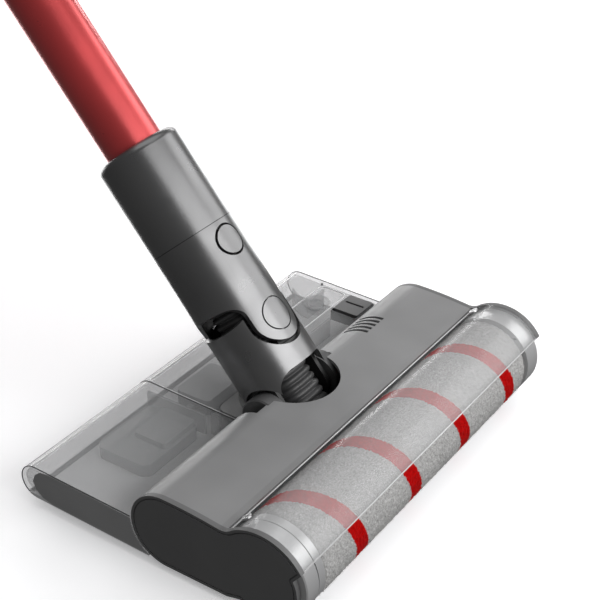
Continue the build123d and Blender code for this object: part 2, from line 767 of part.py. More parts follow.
# Yoke inside the lower neck: a ring, two ears down to the tilt pins and two ears up to the swivel pins
ear_radius, ear_thickness = 10.5, 3.4
tilt_ear_inner, swivel_ear_inner = 17.7, 16.7
yoke_bottom, yoke_top = 24.0, 30.0
swivel_ear_stem = 15.0
swivel_pin_radius = 3.5
with BuildPart() as neck_yoke:
    for side in (-1, 1):
        with BuildSketch(wand_side.offset(side * tilt_ear_inner)):
            Circle(ear_radius)
            with Locations((0, yoke_top / 2)):
                Rectangle(2 * ear_radius, yoke_top)
            Circle(pin_radius, mode=Mode.SUBTRACT)
        extrude(amount=side * ear_thickness)
        with BuildSketch(wand_front.offset(side * swivel_ear_inner)):
            with Locations((0, swivel_s)):
                Circle(ear_radius)
            with Locations((0, (yoke_bottom + swivel_s) / 2)):
                Rectangle(swivel_ear_stem, swivel_s - yoke_bottom)
            with Locations((0, swivel_s)):
                Circle(swivel_pin_radius + running_gap, mode=Mode.SUBTRACT)
        extrude(amount=side * ear_thickness)
    with BuildSketch(wand.offset(yoke_bottom)):
        Circle(neck_bore - 0.1)
        Circle(16.5, mode=Mode.SUBTRACT)
    extrude(amount=yoke_top - yoke_bottom)
    with BuildSketch(wand.offset(-20)):
        Circle(neck_bore - 0.1)
    extrude(amount=90, mode=Mode.INTERSECT)
finish(neck_yoke, "neck_yoke")

# Pivot pins of the tilt hinge, pressed into the yoke and running in the lugs
with BuildPart() as pivot_pins:
    for side in (-1, 1):
        with BuildSketch(wand_side.offset(side * tilt_ear_inner)):
            Circle(pin_radius)
        extrude(amount=side * (lug_outer - 1.5 - tilt_ear_inner))
finish(pivot_pins, "pivot_pins")

# Lower hose between the suction duct and the coupler
with BuildPart() as lower_hose:
    with BuildSketch(wand.offset(lower_hose_bottom)):
        Circle(hose_radius)
        Circle(hose_bore, mode=Mode.SUBTRACT)
    extrude(amount=lower_hose_top - lower_hose_bottom)
finish(lower_hose, "lower_hose")

# Coupler ring that joins the two hoses inside the yoke
coupler_top = 34.0
with BuildPart() as hose_coupler:
    with BuildSketch(wand.offset(lower_hose_top + 0.1)):
        Circle(16.3)
        Circle(hose_bore, mode=Mode.SUBTRACT)
    extrude(amount=coupler_top - lower_hose_top - 0.2)
    chamfer(hose_coupler.edges().filter_by(GeomType.CIRCLE), 0.6)
finish(hose_coupler, "hose_coupler")

# Upper hose between the coupler and the wand socket
socket_floor = 70.0
with BuildPart() as upper_hose:
    with BuildSketch(wand.offset(coupler_top)):
        Circle(hose_radius)
        Circle(hose_bore, mode=Mode.SUBTRACT)
    extrude(amount=socket_floor - coupler_top - 0.1)
finish(upper_hose, "upper_hose")

# ================================================================= upper neck, swivelling on the lower neck

# Front outline of the upper neck: round tongue, then a round-cornered window on each side
window_corner = window_top - 53.0
with BuildSketch() as upper_front:
    with BuildLine():
        ThreePointArc((-tongue_radius, swivel_s), (0, swivel_s - tongue_radius), (tongue_radius, swivel_s))
        Line((tongue_radius, swivel_s), (tongue_radius, window_top - window_corner))
        ThreePointArc(
            (tongue_radius, window_top - window_corner),
            (tongue_radius + 0.293 * window_corner, window_top - 0.293 * window_corner),
            (tongue_radius + window_corner, window_top),
        )
        Polyline(
            (tongue_radius + window_corner, window_top),
            (upper_radius + 2, window_top),
            (upper_radius + 2, seam_s),
            (-upper_radius - 2, seam_s),
            (-upper_radius - 2, window_top),
            (-tongue_radius - window_corner, window_top),
        )
        ThreePointArc(
            (-tongue_radius - window_corner, window_top),
            (-tongue_radius - 0.293 * window_corner, window_top - 0.293 * window_corner),
            (-tongue_radius, window_top - window_corner),
        )
        Line((-tongue_radius, window_top - window_corner), (-tongue_radius, swivel_s))
    make_face()

with BuildPart() as upper_neck_shell:
    with BuildSketch(wand.offset(25)):
        Circle(upper_radius)
        Circle(neck_bore, mode=Mode.SUBTRACT)
    extrude(amount=seam_s - 25)
    with BuildSketch(wand_front):
        add(upper_front.sketch)
    extrude(amount=40, both=True, mode=Mode.INTERSECT)
    with BuildSketch(wand_front):
        with Locations((0, swivel_s)):
            Circle(cap_radius + cap_gap)
    extrude(amount=40, both=True, mode=Mode.SUBTRACT)
    with BuildSketch(wand_front):
        with Locations((0, button_s)):
            Circle(button_hole)
    extrude(amount=40, mode=Mode.SUBTRACT)
finish(upper_neck_shell, "upper_neck_shell")

# Swivel caps, front and rear: a flush disc with the swivel pin behind it
for side, cap_name in ((1, "front_swivel_cap"), (-1, "rear_swivel_cap")):
    with BuildPart() as swivel_cap:
        with BuildSketch(wand_front.offset(side * 21.2)):
            with Locations((0, swivel_s)):
                Circle(cap_radius)
        extrude(amount=side * 6)
        with BuildSketch(wand.offset(swivel_s - 20)):
            Circle(upper_radius + 0.1)
        extrude(amount=40, mode=Mode.INTERSECT)
        with BuildSketch(wand_front.offset(side * (swivel_ear_inner + 0.2))):
            with Locations((0, swivel_s)):
                Circle(swivel_pin_radius)
        extrude(amount=side * 5)
        with BuildSketch(wand_front.offset(side * 21.2)):
            with Locations((0, swivel_s)):
                Circle(cap_radius + cap_gap - running_gap)
        extrude(amount=side * 1.4)
    finish(swivel_cap, cap_name)

# Wand socket inside the upper neck: a cup with a floor round the hose and a pocket under the button
socket_bore = spigot_radius + 0.3
with BuildPart() as wand_socket:
    with BuildSketch(wand.offset(socket_floor)):
        Circle(neck_bore - 0.05)
    extrude(amount=seam_s - socket_floor - 0.4)
    with BuildSketch(wand.offset(socket_floor + 3)):
        Circle(socket_bore)
    extrude(amount=60, mode=Mode.SUBTRACT)
    with BuildSketch(wand.offset(socket_floor - 1)):
        Circle(hose_bore)
    extrude(amount=10, mode=Mode.SUBTRACT)
    with BuildSketch(wand_front.offset(21.0)):
        with Locations((0, button_s)):
            Circle(button_hole)
    extrude(amount=10, mode=Mode.SUBTRACT)
finish(wand_socket, "wand_socket")

# Round push buttons on the front of the wand, their faces following the tube they sit in
for button_name, start, face_radius, along in (
    ("release_button", 22.7, upper_radius + 0.35, button_s),
    ("upper_button", 21.6, upper_sleeve_radius + 0.8, upper_button_s),
):
    with BuildPart() as button:
        with BuildSketch(wand_front.offset(start)):
            with Locations((0, along)):
                Circle(button_radius)
        extrude(amount=10)
        with BuildSketch(wand.offset(along - 20)):
            Circle(face_radius)
        extrude(amount=40, mode=Mode.INTERSECT)
    finish(button, button_name)

# ================================================================= wand

# Lower sleeve: grey collar round the tube, with the spigot that enters the neck
with BuildPart() as lower_sleeve:
    with BuildSketch(wand.offset(seam_s + 0.35)):
        Circle(upper_radius)
    extrude(amount=sleeve_top - seam_s - 0.35)
    top_edge = lower_sleeve.edges().filter_by(GeomType.CIRCLE).sort_by(wand_axis)[-1]
    fillet(top_edge, 4.5)
    with BuildSketch(wand.offset(socket_floor + 5)):
        Circle(spigot_radius)
    extrude(amount=seam_s + 0.4 - socket_floor - 5)
    with BuildSketch(wand.offset(socket_floor)):
        Circle(tube_bore)
    extrude(amount=150, mode=Mode.SUBTRACT)
    with BuildSketch(wand.offset(tube_bottom - 0.1)):
        Circle(tube_radius + 0.03)
    extrude(amount=60, mode=Mode.SUBTRACT)
finish(lower_sleeve, "lower_sleeve")

# Tube of the wand
with BuildPart() as wand_tube:
    with BuildSketch(wand.offset(tube_bottom)):
        Circle(tube_radius)
        Circle(tube_bore, mode=Mode.SUBTRACT)
    extrude(amount=tube_top - tube_bottom)
finish(wand_tube, "wand_tube")

# Upper sleeve: collar at the hand end of the tube, with the socket for the hand unit
with BuildPart() as upper_sleeve:
    with BuildSketch(wand.offset(upper_sleeve_bottom)):
        Circle(upper_sleeve_radius)
    extrude(amount=upper_sleeve_top - upper_sleeve_bottom)
    bottom_edge = upper_sleeve.edges().filter_by(GeomType.CIRCLE).sort_by(wand_axis)[0]
    fillet(bottom_edge, 4.0)
    with BuildSketch(wand.offset(upper_sleeve_bottom - 1)):
        Circle(tube_radius + 0.03)
    extrude(amount=tube_top - upper_sleeve_bottom + 1.05, mode=Mode.SUBTRACT)
    with BuildSketch(wand.offset(tube_top)):
        Circle(socket_bore)
    extrude(amount=100, mode=Mode.SUBTRACT)
    with BuildSketch(wand_front.offset(20.2)):
        with Locations((0, upper_button_s)):
            Circle(button_radius + 0.6)
    extrude(amount=20, mode=Mode.SUBTRACT)
finish(upper_sleeve, "upper_sleeve")

# ================================================================= hand unit

# Inlet tube: spigot in the upper sleeve, flange, then the pipe that runs over the dust cup
flange_s = upper_sleeve_top + 0.4
inlet_radius, inlet_bore = 19.5, 16.2
with BuildPart() as inlet_tube:
    for start, end, radius in (
        (tube_top + 6, flange_s, spigot_radius),
        (flange_s, flange_s + 5, upper_sleeve_radius),
        (flange_s + 5, cup_back, inlet_radius),
    ):
        with BuildSketch(wand.offset(start)):
            Circle(radius)
        extrude(amount=end - start)
    rims = inlet_tube.edges().filter_by(GeomType.CIRCLE)
    fillet(rims.filter_by(lambda edge: edge.radius > upper_sleeve_radius - 0.1), 1.2)
    with BuildSketch(wand.offset(tube_top)):
        Circle(inlet_bore)
    extrude(amount=200, mode=Mode.SUBTRACT)
finish(inlet_tube, "inlet_tube")


def cup_plane(along):
    """Plane across the dust cup's axis, which runs below the inlet tube."""
    level = wand.offset(along)
    return Plane(origin=level.origin + level.y_dir * cup_y, x_dir=level.x_dir, z_dir=level.z_dir)


# Dust cup: clear drum, open at the front under its door
with BuildPart() as dust_cup:
    with BuildSketch(cup_plane(cup_front)):
        Circle(cup_radius)
    extrude(amount=cup_back - cup_front - 0.1)
    with BuildSketch(cup_plane(cup_front)):
        Circle(cup_radius - cup_wall)
    extrude(amount=cup_back - cup_front - 0.1, mode=Mode.SUBTRACT)
finish(dust_cup, "dust_cup")

# Cup door: round lid with a rim, hinge ear below and catch above
door_thickness = 4.0
with BuildPart() as cup_door:
    with BuildSketch(cup_plane(cup_front - 0.3)):
        Circle(cup_radius)
    extrude(amount=-door_thickness)
    front_edge = cup_door.edges().filter_by(GeomType.CIRCLE).sort_by(wand_axis)[0]
    fillet(front_edge, 2.5)
    with BuildSketch(cup_plane(cup_front - 0.3)):
        with Locations((0, cup_radius)):
            Rectangle(16, 7)
    extrude(amount=-door_thickness)
finish(cup_door, "cup_door")

# Hinge of the cup door, under the rim of the cup
with BuildPart() as door_hinge:
    with BuildSketch(cup_plane(cup_front + 0.2)):
        with Locations((0, cup_radius + 2.6)):
            Rectangle(18, 5)
    extrude(amount=14)
finish(door_hinge, "door_hinge")

# Cyclone inside the cup: mesh drum and cone
with BuildPart() as cyclone:
    with BuildSketch(cup_plane(cup_back - 45)):
        Circle(24)
    extrude(amount=44.8)
    with BuildSketch(cup_plane(cup_back - 45)):
        Circle(15)
    extrude(amount=-30, taper=15)
    with BuildSketch(cup_plane(cup_back - 47)):
        Circle(28)
    extrude(amount=2.2)
finish(cyclone, "cyclone")


def body_plane(along):
    """Plane across the motor casing's axis."""
    level = wand.offset(along)
    return Plane(origin=level.origin + level.y_dir * body_y, x_dir=level.x_dir, z_dir=level.z_dir)


# Motor casing: egg-shaped body that joins the inlet, the cup and the grip
body_wall = 2.6
with BuildSketch() as body_section:
    Circle(body_radius)
    with Locations((0, -body_y)):
        Circle(24)
    make_hull()
with BuildPart() as motor_casing:
    with BuildSketch(body_plane(cup_back)):
        add(body_section.sketch)
    extrude(amount=body_back - cup_back)
    ends = motor_casing.edges().group_by(wand_axis)
    fillet(ends[-1], 9)
    with BuildSketch(body_plane(cup_back + body_wall)):
        add(body_section.sketch)
        offset(amount=-body_wall, mode=Mode.REPLACE)
    extrude(amount=body_back - cup_back - 12 - body_wall, mode=Mode.SUBTRACT)
    with BuildSketch(cup_plane(cup_back - 1)):
        Circle(20)
    extrude(amount=6, mode=Mode.SUBTRACT)
    with BuildSketch(wand.offset(cup_back - 1)):
        Circle(inlet_bore)
    extrude(amount=6, mode=Mode.SUBTRACT)
    with BuildSketch(body_plane(body_back - 14)):
        Circle(31)
    extrude(amount=16, mode=Mode.SUBTRACT)
finish(motor_casing, "motor_casing")

# Suction motor inside the casing
with BuildPart() as suction_motor:
    with BuildSketch(body_plane(cup_back + 25)):
        Circle(30)
    extrude(amount=34)
    with BuildSketch(body_plane(cup_back + 59)):
        Circle(22)
    extrude(amount=30)
    fillet(suction_motor.edges().filter_by(GeomType.CIRCLE), 2)
finish(suction_motor, "suction_motor")

# Exhaust grille at the back of the casing, with ring slots and a seat for the mode button
with BuildPart() as exhaust_grille:
    with BuildSketch(body_plane(body_back - 12)):
        Circle(30.8)
    extrude(amount=15)
    back_edge = exhaust_grille.edges().filter_by(GeomType.CIRCLE).sort_by(wand_axis)[-1]
    fillet(back_edge, 3)
    with BuildSketch(body_plane(body_back - 2)):
        with PolarLocations(21, 24):
            SlotOverall(13, 2.2)
    extrude(amount=20, mode=Mode.SUBTRACT)
    with BuildSketch(body_plane(body_back - 2)):
        Circle(9.5)
    extrude(amount=20, mode=Mode.SUBTRACT)
finish(exhaust_grille, "exhaust_grille")

# Mode button in the middle of the grille
with BuildPart() as mode_button:
    with BuildSketch(body_plane(body_back - 0.2)):
        Circle(9.0)
    extrude(amount=4)
    fillet(mode_button.edges().filter_by(GeomType.CIRCLE).sort_by(wand_axis)[-1], 1.0)
finish(mode_button, "mode_button")


def grip_plane(depth):
    """Plane across the grip, which hangs square to the wand under the motor casing."""
    level = wand.offset(grip_s)
    return Plane(origin=level.origin + level.y_dir * depth, x_dir=(1, 0, 0), z_dir=level.y_dir)


# Grip: rounded handle under the casing, with a slot for the trigger
trigger_depth, trigger_length = grip_top + 28, 26.0
grip_half_width, grip_half_depth = 15.0, 19.0
with BuildPart() as grip:
    with BuildSketch(grip_plane(grip_top)):
        RectangleRounded(2 * grip_half_width, 2 * grip_half_depth, 13)
    extrude(amount=grip_bottom - grip_top)
    with BuildSketch(body_plane(cup_back + 10)):
        Circle(body_radius + 0.1)
    extrude(amount=150, mode=Mode.SUBTRACT)
    with BuildSketch(grip_plane(trigger_depth - trigger_length / 2)):
        with Locations((0, grip_half_depth)):
            Rectangle(13, 18)
    extrude(amount=trigger_length, mode=Mode.SUBTRACT)
    with BuildSketch(grip_plane(grip_bottom - 14)):
        RectangleRounded(2 * grip_half_width + 18, 2 * grip_half_depth + 26, 12)
    extrude(amount=14)
finish(grip, "grip")

# Trigger in the front of the grip
with BuildPart() as trigger:
    with BuildSketch(grip_plane(trigger_depth - trigger_length / 2 + 0.5)):
        with Locations((0, grip_half_depth - 0.5)):
            RectangleRounded(12, 11, 3)
    extrude(amount=trigger_length - 1)
finish(trigger, "trigger")

# Battery that slides up onto the foot of the grip
with BuildPart() as battery:
    with BuildSketch(grip_plane(grip_bottom + 0.4)):
        RectangleRounded(2 * grip_half_width + 18, 2 * grip_half_depth + 26, 12)
    extrude(amount=battery_bottom - grip_bottom - 0.4)
    bottom_edges = battery.edges().group_by(Axis(wand.origin, wand.y_dir))[-1]
    fillet(bottom_edges, 5)
finish(battery, "battery")
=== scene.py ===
import json
from math import cos, exp, pi, radians, sin, sqrt, tau

import bpy
import numpy as np
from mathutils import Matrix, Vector


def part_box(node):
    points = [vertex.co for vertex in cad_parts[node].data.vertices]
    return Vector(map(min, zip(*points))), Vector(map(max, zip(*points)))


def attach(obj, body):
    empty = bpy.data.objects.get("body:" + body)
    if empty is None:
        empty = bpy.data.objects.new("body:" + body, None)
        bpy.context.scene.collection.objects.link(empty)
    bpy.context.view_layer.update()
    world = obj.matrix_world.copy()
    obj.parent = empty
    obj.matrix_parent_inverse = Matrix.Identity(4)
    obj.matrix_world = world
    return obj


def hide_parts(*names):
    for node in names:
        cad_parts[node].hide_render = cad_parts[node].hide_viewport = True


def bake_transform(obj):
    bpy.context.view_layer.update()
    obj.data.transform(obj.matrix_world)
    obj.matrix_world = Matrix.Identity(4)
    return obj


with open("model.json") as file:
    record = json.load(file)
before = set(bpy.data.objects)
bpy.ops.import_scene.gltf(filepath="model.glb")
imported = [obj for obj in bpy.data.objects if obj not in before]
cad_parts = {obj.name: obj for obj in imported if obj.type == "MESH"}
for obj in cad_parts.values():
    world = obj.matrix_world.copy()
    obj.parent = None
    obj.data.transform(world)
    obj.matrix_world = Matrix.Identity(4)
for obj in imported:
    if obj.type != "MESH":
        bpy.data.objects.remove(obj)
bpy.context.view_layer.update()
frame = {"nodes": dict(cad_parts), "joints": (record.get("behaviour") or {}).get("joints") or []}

# A cordless stick vacuum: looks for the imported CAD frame. Metres, +Z up, the roller along X.

MM = 0.001
joints = {joint["name"]: joint for joint in frame["joints"]}
tilt = Vector(joints["neck_tilt"]["pos_m"])
roller_axis = Vector(joints["roller_spin"]["pos_m"])
wand_dir = Vector(joints["wand_slide"]["axis"]).normalized()
wand_down = Vector(joints["neck_swivel"]["axis"]).normalized()
cap_left, cap_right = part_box("left_end_cap")[1].x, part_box("right_end_cap")[0].x


# ---------------------------------------------------------------- material helpers

def new_material(name, **sockets):
    """Principled material; keyword names are socket names with _ for spaces."""
    material = bpy.data.materials.new(name)
    material.use_nodes = True
    shader = material.node_tree.nodes["Principled BSDF"]
    for key, value in sockets.items():
        shader.inputs[key.replace("_", " ")].default_value = value
    return material, material.node_tree, shader


def grey(value, alpha=1.0):
    """Neutral colour of one brightness."""
    return (value, value, value * 1.01, alpha)


def shade(colour, factor):
    """Opaque colour, darker or lighter by a factor."""
    return tuple(min(1.0, channel * factor) for channel in colour[:3]) + (1.0,)


def noise(tree, scale, detail=2.0, roughness=0.5, stretch=(1.0, 1.0, 1.0)):
    """Noise in object coordinates; returns its factor output."""
    coords = tree.nodes.new("ShaderNodeTexCoord")
    mapping = tree.nodes.new("ShaderNodeMapping")
    mapping.inputs["Scale"].default_value = stretch
    texture = tree.nodes.new("ShaderNodeTexNoise")
    texture.inputs["Scale"].default_value = scale
    texture.inputs["Detail"].default_value = detail
    texture.inputs["Roughness"].default_value = roughness
    tree.links.new(coords.outputs["Object"], mapping.inputs["Vector"])
    tree.links.new(mapping.outputs["Vector"], texture.inputs["Vector"])
    return texture.outputs["Fac"]


def spread(tree, factor, low, high, source=(0.3, 0.7)):
    """Maps a factor to a number range."""
    node = tree.nodes.new("ShaderNodeMapRange")
    node.inputs["From Min"].default_value = source[0]
    node.inputs["From Max"].default_value = source[1]
    node.inputs["To Min"].default_value = low
    node.inputs["To Max"].default_value = high
    tree.links.new(factor, node.inputs["Value"])
    return node.outputs["Result"]


def colour_mix(tree, factor, first, second, source=(0.35, 0.65)):
    """Blends two colours by a factor."""
    ramp = tree.nodes.new("ShaderNodeValToRGB")
    ramp.color_ramp.elements[0].position = source[0]
    ramp.color_ramp.elements[0].color = first
    ramp.color_ramp.elements[1].position = source[1]
    ramp.color_ramp.elements[1].color = second
    tree.links.new(factor, ramp.inputs["Fac"])
    return ramp.outputs["Color"]


def bump(tree, shader, height, strength, distance):
    """Surface bump from a height factor."""
    node = tree.nodes.new("ShaderNodeBump")
    node.inputs["Strength"].default_value = strength
    node.inputs["Distance"].default_value = distance
    tree.links.new(height, node.inputs["Height"])
    tree.links.new(node.outputs["Normal"], shader.inputs["Normal"])


def moulded(
    name, value, rough, grain=2600.0, depth=0.00004, metallic=0.0, tint=None, wear=1.12, coat=0.0, gloss=0.2
):
    """Moulded plastic or paint: fine grain, slow colour drift and slightly uneven gloss."""
    base = tint or grey(value)
    material, tree, shader = new_material(name, Metallic=metallic, Coat_Weight=coat, Coat_Roughness=gloss)
    drift = colour_mix(tree, noise(tree, 14.0, 3.0), shade(base, 0.93), shade(base, wear))
    tree.links.new(drift, shader.inputs["Base Color"])
    uneven = spread(tree, noise(tree, 60.0, 4.0), rough * 0.9, rough * 1.12)
    tree.links.new(uneven, shader.inputs["Roughness"])
    bump(tree, shader, noise(tree, grain, 2.0), 0.35, depth)
    return material


def clear(name, colour, alpha, rough, specular=0.5):
    """Clear or smoky plastic: a see-through body with slow haze and moulding ripple."""
    material, tree, shader = new_material(name, Specular_IOR_Level=specular)
    haze = noise(tree, 9.0, 3.0, stretch=(1.0, 3.0, 3.0))
    tint = colour_mix(tree, haze, shade(colour, 0.94), shade(colour, 1.05))
    tree.links.new(tint, shader.inputs["Base Color"])
    tree.links.new(spread(tree, haze, alpha * 0.94, min(1.0, alpha * 1.06)), shader.inputs["Alpha"])
    tree.links.new(spread(tree, noise(tree, 40.0), rough * 0.8, rough * 1.3), shader.inputs["Roughness"])
    bump(tree, shader, noise(tree, 22.0, 1.0), 0.08, 0.0004)
    return material


def brushed(name, value, rough):
    """Turned or brushed metal with fine lines."""
    base = grey(value)
    material, tree, shader = new_material(name, Metallic=1.0)
    lines = noise(tree, 30.0, 3.0, stretch=(1.0, 60.0, 60.0))
    tree.links.new(colour_mix(tree, lines, shade(base, 0.85), base), shader.inputs["Base Color"])
    tree.links.new(spread(tree, lines, rough * 0.8, rough * 1.25), shader.inputs["Roughness"])
    bump(tree, shader, lines, 0.1, 0.00005)
    return material


def fabric(name, first, second, scale, depth):
    """Fibrous cloth or pile: mottled colour, no gloss, soft sheen."""
    material, tree, shader = new_material(name, Roughness=0.95, Sheen_Weight=0.02, Specular_IOR_Level=0.04)
    fibres = noise(tree, scale, 5.0, 0.7)
    tree.links.new(colour_mix(tree, fibres, first, second), shader.inputs["Base Color"])
    bump(tree, shader, noise(tree, scale * 1.7, 4.0, 0.8), 0.6, depth)
    return material


# ---------------------------------------------------------------- materials

casing_grey = moulded("casing_grey", 0.225, 0.36)
neck_metal = moulded("neck_metal", 0.185, 0.3, metallic=0.78, wear=1.05, coat=0.1)
cap_dark = moulded("cap_dark", 0.13, 0.5, wear=1.1)
black_plastic = moulded("black_plastic", 0.012, 0.5)
hose_rubber = moulded("hose_rubber", 0.05, 0.42, grain=1800.0)
hub_silver = moulded("hub_silver", 0.62, 0.3, metallic=0.55, wear=1.03)
latch_grey = moulded("latch_grey", 0.12, 0.5)
end_grey = moulded("end_grey", 0.33, 0.45)
tank_grey = moulded("tank_grey", 0.5, 0.45)
tank_floor = moulded("tank_floor", 0.72, 0.5)
# Dark grey of the hinge lugs and brush motor: partly their own colour, partly painted shade of the socket
# round the lugs.
lug_dark_and_shade = moulded("lug_dark_and_shade", 0.1, 0.4, metallic=0.3)
# Pale glossy lines laid along edges and seams as painted highlights.
painted_highlight = moulded("painted_highlight", 0.8, 0.15, coat=0.6)
wheel_rubber = moulded("wheel_rubber", 0.03, 0.7, grain=900.0, depth=0.0001)
accent_red = moulded("accent_red", 0.0, 0.4, tint=(0.42, 0.014, 0.016, 1.0))
board_green = moulded("board_green", 0.0, 0.35, tint=(0.02, 0.12, 0.05, 1.0))
wand_red = moulded(
    "wand_red", 0.0, 0.3, metallic=0.62, tint=(0.72, 0.062, 0.066, 1.0), wear=1.05, coat=1.0, gloss=0.28
)
steel = brushed("steel", 0.6, 0.3)
clear_cover = clear("clear_cover", (0.7, 0.705, 0.71, 1.0), 0.2, 0.18)
smoke_clear = clear("smoke_clear", (0.42, 0.425, 0.43, 1.0), 0.24, 0.12, specular=0.9)
pile_grey = fabric("pile_grey", (0.24, 0.237, 0.234, 1.0), (0.6, 0.595, 0.59, 1.0), 1300.0, 0.0005)
pile_red = fabric("pile_red", (0.3, 0.001, 0.001, 1.0), (0.56, 0.002, 0.002, 1.0), 1300.0, 0.0005)
mop_cloth = fabric("mop_cloth", (0.25, 0.26, 0.28, 1.0), (0.45, 0.46, 0.48, 1.0), 300.0, 0.0006)
mop_edge = fabric("mop_edge", (0.03, 0.03, 0.032, 1.0), (0.06, 0.06, 0.062, 1.0), 500.0, 0.0004)
wall_clear = clear("wall_clear", (0.62, 0.625, 0.63, 1.0), 0.4, 0.2)


def paint_cover_reflection(material, outside_reflection):
    """Painted reflection of a soft box: leaves the top of a curved cover whiter and its back clearer, with an
    edge along the curve at one slope.
    """
    tree = material.node_tree
    shader = tree.nodes["Principled BSDF"]
    coords = tree.nodes.new("ShaderNodeTexCoord")
    parts = tree.nodes.new("ShaderNodeSeparateXYZ")
    slope = tree.nodes.new("ShaderNodeMath")
    slope.operation = "DIVIDE"
    tree.links.new(coords.outputs["Normal"], parts.inputs["Vector"])
    tree.links.new(parts.outputs["Y"], slope.inputs[0])
    tree.links.new(parts.outputs["Z"], slope.inputs[1])
    reflection_fade = spread(tree, slope.outputs["Value"], 1.0, outside_reflection, source=(0.37, 0.43))
    thinned = tree.nodes.new("ShaderNodeMath")
    thinned.operation = "MULTIPLY"
    tree.links.new(shader.inputs["Alpha"].links[0].from_socket, thinned.inputs[0])
    tree.links.new(reflection_fade, thinned.inputs[1])
    tree.links.new(thinned.outputs["Value"], shader.inputs["Alpha"])


# The cover's whitish veil is partly its own haze, kept at the back, and on the top a painted reflection.
paint_cover_reflection(clear_cover, 0.35)

node_materials = {
    casing_grey: ("top_cover", "neck_saddle"),
    lug_dark_and_shade: ("hinge_lugs", "brush_motor"),
    neck_metal: (
        "lower_neck_shell", "upper_neck_shell", "front_swivel_cap", "rear_swivel_cap", "release_button",
        "lower_sleeve", "upper_sleeve", "upper_button", "inlet_tube", "door_hinge", "motor_casing", "grip",
    ),
    cap_dark: ("chassis", "left_end_cap", "right_end_cap", "cup_door", "battery", "mode_button"),
    black_plastic: (
        "suction_duct", "roller_core", "roller_pulley", "mop_plate", "neck_yoke",
        "hose_coupler", "wand_socket", "suction_motor",
    ),
    hub_silver: ("drive_shroud", "end_plug", "roller_hub"),
    tank_grey: ("water_pump",),
    wall_clear: ("tank_walls",),
    latch_grey: ("tank_latch",),
    tank_floor: ("tank_base",),
    wheel_rubber: ("squeegee_strip", "drive_belt", "left_wheel", "right_wheel"),
    accent_red: ("exhaust_grille", "trigger"),
    board_green: ("circuit_board",),
    wand_red: ("wand_tube",),
    steel: ("cover_screws", "casing_screws", "motor_pulley", "wheel_axles", "pivot_pins", "cyclone"),
    clear_cover: ("roller_cover",),
    smoke_clear: ("tank_shell", "filler_cap", "dust_cup"),
}
for material, names in node_materials.items():
    for name in names:
        node = frame["nodes"][name]
        node.data.materials.clear()
        node.data.materials.append(material)


# ---------------------------------------------------------------- mesh helpers

def mesh_piece(name, vertices, faces, *materials):
    """New object from vertices and faces."""
    mesh = bpy.data.meshes.new(name)
    mesh.from_pydata(vertices, [], faces)
    for material in materials:
        mesh.materials.append(material)
    mesh.update()
    piece = bpy.data.objects.new(name, mesh)
    bpy.context.collection.objects.link(piece)
    return piece


def smooth(piece):
    """Smooth shading all over."""
    piece.data.polygons.foreach_set("use_smooth", [True] * len(piece.data.polygons))


def grid_faces(rows, columns):
    """Quads of a grid of vertices, closed round its columns."""
    faces = []
    for row in range(rows - 1):
        for column in range(columns):
            after = (column + 1) % columns
            start = row * columns
            faces.append((start + column, start + after, start + columns + after, start + columns + column))
    return faces


def bead(name, path, radius, material, body):
    """Thin round bead along a path, in millimetres, carried by one body."""
    points = [Vector(point) * MM for point in path]
    sides = 8
    vertices = []
    side = (points[1] - points[0]).orthogonal()
    for i, point in enumerate(points):
        tangent = (points[min(i + 1, len(points) - 1)] - points[max(i - 1, 0)]).normalized()
        side = (side - tangent * side.dot(tangent)).normalized()
        up = tangent.cross(side)
        for j in range(sides):
            turn = tau * j / sides
            vertices.append(point + (side * cos(turn) + up * sin(turn)) * radius * MM)
    faces = grid_faces(len(points), sides)
    faces.append(tuple(range(sides - 1, -1, -1)))
    faces.append(tuple(len(vertices) - sides + j for j in range(sides)))
    piece = mesh_piece(name, vertices, faces, material)
    smooth(piece)
    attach(piece, body)


def bar(name, outline, start, end, material, body):
    """Bar along X with an end-on outline of (y, z) points, in millimetres, carried by one body."""
    count = len(outline)
    vertices = [Vector((x, y, z)) * MM for x in (start, end) for y, z in outline]
    faces = [(j, (j + 1) % count, count + (j + 1) % count, count + j) for j in range(count)]
    faces.append(tuple(range(count - 1, -1, -1)))
    faces.append(tuple(range(count, 2 * count)))
    piece = mesh_piece(name, vertices, faces, material)
    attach(piece, body)


def arc(centre, radius, start, end, steps=16):
    """Points (y, z) on an arc seen from the end, angles in degrees."""
    turns = [radians(start + (end - start) * i / steps) for i in range(steps + 1)]
    return [(centre[0] + radius * cos(turn), centre[1] + radius * sin(turn)) for turn in turns]


# ---------------------------------------------------------------- roller pile

pile_low, pile_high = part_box("roller_pile")
pile_radius = (pile_high.z - pile_low.z) / 2
pile_length = pile_high.x - pile_low.x
stripe_pitch = 53.3 * MM
stripe_width = 10.8 * MM
stripe_edge = -71.8 * MM
stripe_angle = radians(155)
fibre_room = 0.9 * MM
fluff_depth, fluff_limit = 0.16 * MM, 0.4 * MM
sleeve_margin = 0.2 * MM
shoulder_drop, shoulder_rows = 1.0 * MM, 1.6
fibre_count = 26000
fibre_margin = 0.6 * MM
fibre_length = (0.5, 0.95)
fibre_half_width = 0.09 * MM
fibre_lean = 0.3
fibre_root = 0.2 * MM


def in_stripe(x, angle):
    """True where the red helix runs: its edge moves along X as the angle grows."""
    edge = stripe_edge + stripe_pitch * (angle - stripe_angle) / tau
    return (edge - x) % stripe_pitch < stripe_width


def on_roller(x, radius, angle):
    """Point at a radius and an angle round the roller's axis."""
    return (x, roller_axis.y + radius * cos(angle), roller_axis.z + radius * sin(angle))


